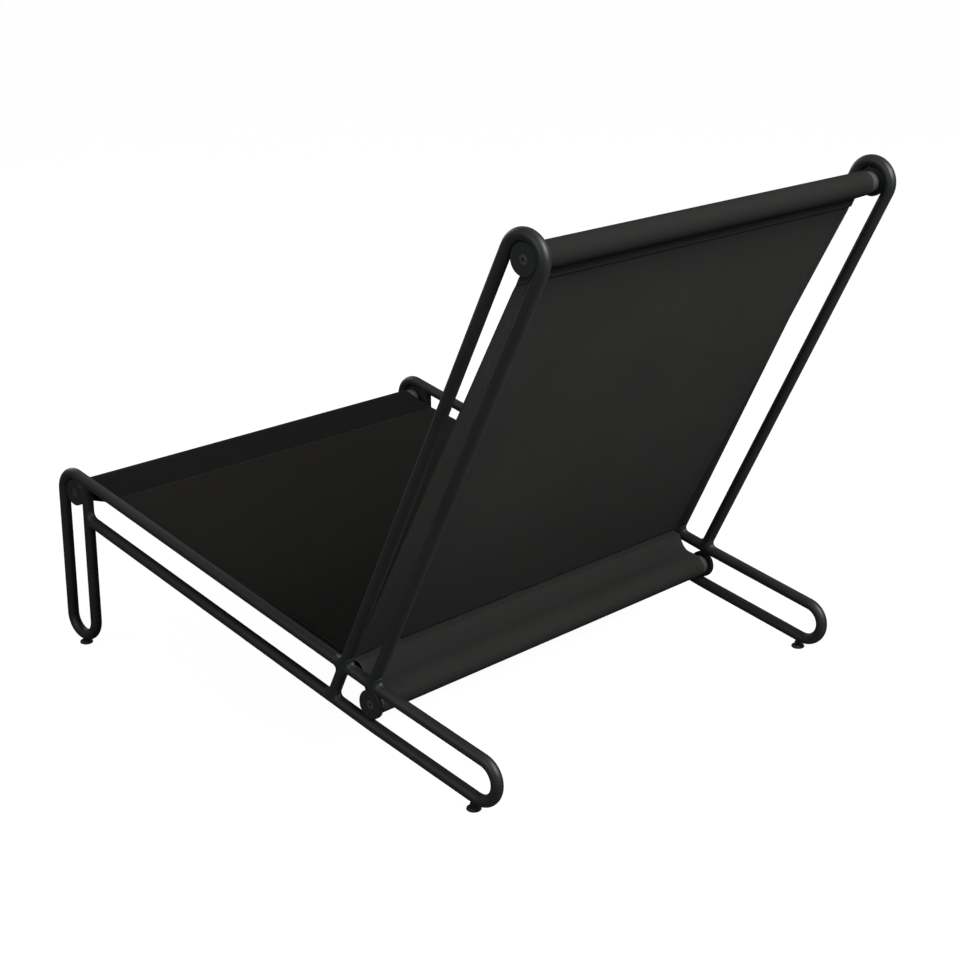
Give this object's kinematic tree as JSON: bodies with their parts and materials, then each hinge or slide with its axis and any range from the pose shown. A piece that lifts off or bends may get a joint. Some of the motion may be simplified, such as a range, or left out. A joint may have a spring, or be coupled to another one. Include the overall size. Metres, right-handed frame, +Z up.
{
  "type": "sling lounge chair",
  "caption": "Low outdoor lounge chair: bent-rod side frames joined by cross tubes, a sewn sling seat and back, and screwed levelling feet.",
  "frame": {"origin": "middle of the chair's footprint, on the floor, with every foot screwed right in", "axes": "+Z up, the sitter faces -Y, +X is the sitter's left"},
  "size_m": [0.7058, 0.9283, 0.7191],
  "materials": {
    "frame_paint": "satin black powder coat",
    "tube_paint": "satin dark grey powder coat",
    "screw_steel": "blackened socket screws",
    "stud_steel": "zinc plated",
    "glide_rubber": "matt moulded",
    "sling_cloth": "matt woven outdoor textile, charcoal black"
  },
  "bodies": {
    "chair": {"frame_rod_left": "frame_paint", "back_rod_left": "frame_paint", "back_strut_left": "frame_paint", "welds_left": "frame_paint", "frame_rod_right": "frame_paint", "back_rod_right": "frame_paint", "back_strut_right": "frame_paint", "welds_right": "frame_paint", "front_tube": "tube_paint", "front_disc_left": "frame_paint", "front_screw_left": "screw_steel", "front_insert_left": "screw_steel", "front_disc_right": "frame_paint", "front_screw_right": "screw_steel", "front_insert_right": "screw_steel", "top_tube": "tube_paint", "top_disc_left": "frame_paint", "top_screw_left": "screw_steel", "top_insert_left": "screw_steel", "top_disc_right": "frame_paint", "top_screw_right": "screw_steel", "top_insert_right": "screw_steel", "lower_tube": "tube_paint", "lower_disc_left": "frame_paint", "lower_screw_left": "screw_steel", "lower_insert_left": "screw_steel", "lower_disc_right": "frame_paint", "lower_screw_right": "screw_steel", "lower_insert_right": "screw_steel", "sling_seat": "sling_cloth", "sling_back": "sling_cloth", "sling_tie": "sling_cloth", "front_sleeve": "sling_cloth", "top_sleeve": "sling_cloth", "lower_sleeve": "sling_cloth", "crease_seam": "sling_cloth"},
    "front_left_stud": {"front_stud_left": "stud_steel"},
    "front_left_pad": {"front_pad_left": "glide_rubber"},
    "front_right_stud": {"front_stud_right": "stud_steel"},
    "front_right_pad": {"front_pad_right": "glide_rubber"},
    "rear_left_stud": {"rear_stud_left": "stud_steel"},
    "rear_left_pad": {"rear_pad_left": "glide_rubber"},
    "rear_right_stud": {"rear_stud_right": "stud_steel"},
    "rear_right_pad": {"rear_pad_right": "glide_rubber"}
  },
  "joints": [
    {"name": "front_left_height", "type": "slide", "parent": "chair", "child": "front_left_stud", "axis": [0, 0, -1], "range_m": [0, 0.005]},
    {"name": "front_left_turn", "type": "hinge", "parent": "front_left_stud", "child": "front_left_pad", "pos_m": [0.3425, -0.4287, 0], "axis": [0, 0, -1], "range_deg": [0, 1800]},
    {"name": "front_right_height", "type": "slide", "parent": "chair", "child": "front_right_stud", "axis": [0, 0, -1], "range_m": [0, 0.005]},
    {"name": "front_right_turn", "type": "hinge", "parent": "front_right_stud", "child": "front_right_pad", "pos_m": [-0.3425, -0.4287, 0], "axis": [0, 0, -1], "range_deg": [0, 1800]},
    {"name": "rear_left_height", "type": "slide", "parent": "chair", "child": "rear_left_stud", "axis": [0, 0, -1], "range_m": [0, 0.005]},
    {"name": "rear_left_turn", "type": "hinge", "parent": "rear_left_stud", "child": "rear_left_pad", "pos_m": [0.3425, 0.3483, 0], "axis": [0, 0, -1], "range_deg": [0, 1800]},
    {"name": "rear_right_height", "type": "slide", "parent": "chair", "child": "rear_right_stud", "axis": [0, 0, -1], "range_m": [0, 0.005]},
    {"name": "rear_right_turn", "type": "hinge", "parent": "rear_right_stud", "child": "rear_right_pad", "pos_m": [-0.3425, 0.3483, 0], "axis": [0, 0, -1], "range_deg": [0, 1800]}
  ],
  "couplings": [
    {"joint": "front_left_turn", "follows": "front_left_height", "rad_per_m": 6283.2},
    {"joint": "front_right_turn", "follows": "front_right_height", "rad_per_m": 6283.2},
    {"joint": "rear_left_turn", "follows": "rear_left_height", "rad_per_m": 6283.2},
    {"joint": "rear_right_turn", "follows": "rear_right_height", "rad_per_m": 6283.2}
  ]
}
